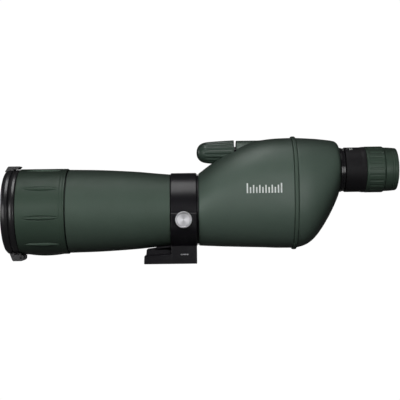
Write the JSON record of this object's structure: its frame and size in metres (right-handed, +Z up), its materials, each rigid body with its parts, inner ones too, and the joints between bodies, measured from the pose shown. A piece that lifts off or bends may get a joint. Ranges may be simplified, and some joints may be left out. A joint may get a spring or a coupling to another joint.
{
  "type": "spotting scope",
  "caption": "Straight zoom spotting scope with sliding sunshade, flip-up objective cover, rotating tripod collar with lock knob, focus knob and zoom eyepiece.",
  "frame": {"origin": "centre of the tripod thread's mouth on the underside of the foot", "axes": "+X along the optical axis from objective to eyepiece, +Z up from the foot to the scope, +Y away from the lock knob"},
  "size_m": [0.354, 0.0851, 0.1135],
  "materials": {
    "green_armour": "textured matte green rubber",
    "green_shell": "rubber-armoured green shell",
    "black_plastic": "satin black moulding",
    "black_alloy": "satin black paint over cast alloy",
    "black_anodised": "matte black anodised",
    "silver_alloy": "turned, clear anodised",
    "steel": "bright",
    "brass": "turned",
    "optical_glass": "polished, coated",
    "prism_glass": "polished",
    "nylon": "natural nylon",
    "black_rubber": "soft black rubber"
  },
  "bodies": {
    "collar_mount": {"tripod_collar": "black_alloy", "collar_liner": "nylon", "thread_insert": "brass"},
    "lock_slide": {"lock_pad": "nylon"},
    "lock_knob": {"lock_knob": "silver_alloy", "lock_screw": "steel"},
    "scope_body": {"main_barrel": "black_anodised", "sunshade_friction_ring": "black_rubber", "barrel_armour": "green_armour", "objective_cell": "black_anodised", "objective_retainer": "black_anodised", "crown_lens": "optical_glass", "lens_spacer": "black_anodised", "flint_lens": "optical_glass", "barrel_baffles": "black_plastic", "front_housing": "green_shell", "rear_cover": "green_shell", "seam_bead": "green_armour", "prism_plate": "black_anodised", "plate_screws": "steel", "guide_rods": "steel", "rear_prism": "prism_glass", "rear_prism_clip": "steel", "rear_clip_screws": "steel", "focus_bushing": "brass", "eyepiece_base": "black_alloy", "eyepiece_tube": "black_anodised", "eyecup_o_ring": "black_rubber", "field_stop": "black_anodised", "eye_lens_cell": "black_anodised", "eye_lens": "optical_glass", "eye_lens_retainer": "black_anodised"},
    "sunshade": {"sunshade_tube": "black_anodised", "sunshade_grip": "green_armour", "cover_ring": "black_plastic", "cover_hinge_pin": "steel"},
    "cover_lid": {"cover_lid": "black_plastic"},
    "focus_knob": {"focus_knob_grip": "green_armour", "focus_knob_core": "black_plastic", "focus_shaft": "steel", "focus_o_ring": "black_rubber", "focus_shaft_clip": "steel"},
    "focus_carriage": {"focus_carriage": "black_plastic", "front_prism": "prism_glass", "front_prism_clip": "steel", "front_clip_screws": "steel"},
    "zoom_ring": {"zoom_ring": "black_alloy", "zoom_grip": "green_armour", "zoom_cam_sleeve": "brass", "zoom_ring_screws": "steel"},
    "variator": {"variator_cell": "black_anodised", "variator_lens": "optical_glass", "variator_pin": "steel"},
    "compensator": {"compensator_cell": "black_anodised", "compensator_lens": "optical_glass", "compensator_pin": "steel"},
    "eyecup": {"eyecup_sleeve": "black_plastic", "eyecup_rubber": "green_armour"}
  },
  "joints": [
    {"name": "lock_travel", "type": "slide", "parent": "collar_mount", "child": "lock_slide", "axis": [0, -1, 0], "range_m": [0, 0.00105]},
    {"name": "lock_turn", "type": "hinge", "parent": "lock_slide", "child": "lock_knob", "pos_m": [0, -0.04, 0.0401], "axis": [0, -1, 0], "range_deg": [0, 540]},
    {"name": "barrel_rotation", "type": "hinge", "parent": "collar_mount", "child": "scope_body", "pos_m": [0, 0, 0.0482], "axis": [1, 0, 0], "continuous": true},
    {"name": "sunshade_slide", "type": "slide", "parent": "scope_body", "child": "sunshade", "axis": [-1, 0, 0], "range_m": [0, 0.028]},
    {"name": "cover_hinge", "type": "hinge", "parent": "sunshade", "child": "cover_lid", "pos_m": [-0.1475, 0, 0.0068], "axis": [0, -1, 0], "range_deg": [0, 170]},
    {"name": "focus_turn", "type": "hinge", "parent": "scope_body", "child": "focus_knob", "pos_m": [0.03, 0, 0.0998], "axis": [1, 0, 0], "range_deg": [-450, 450]},
    {"name": "focus_travel", "type": "slide", "parent": "scope_body", "child": "focus_carriage", "axis": [1, 0, 0], "range_m": [-0.00375, 0.00375]},
    {"name": "zoom_turn", "type": "hinge", "parent": "scope_body", "child": "zoom_ring", "pos_m": [0.16, 0, 0.0827], "axis": [1, 0, 0], "range_deg": [0, 150]},
    {"name": "variator_travel", "type": "slide", "parent": "scope_body", "child": "variator", "axis": [1, 0, 0], "range_m": [0, 0.007]},
    {"name": "compensator_travel", "type": "slide", "parent": "scope_body", "child": "compensator", "axis": [1, 0, 0], "range_m": [-0.005, 0]},
    {"name": "eyecup_slide", "type": "slide", "parent": "scope_body", "child": "eyecup", "axis": [1, 0, 0], "range_m": [0, 0.006]}
  ],
  "couplings": [
    {"joint": "lock_turn", "follows": "lock_travel", "rad_per_m": 8975.9},
    {"joint": "focus_turn", "follows": "focus_travel", "rad_per_m": -2094.4},
    {"joint": "variator_travel", "follows": "zoom_turn", "m_per_rad": 0.0026737},
    {"joint": "compensator_travel", "follows": "zoom_turn", "m_per_rad": -0.0019098}
  ]
}
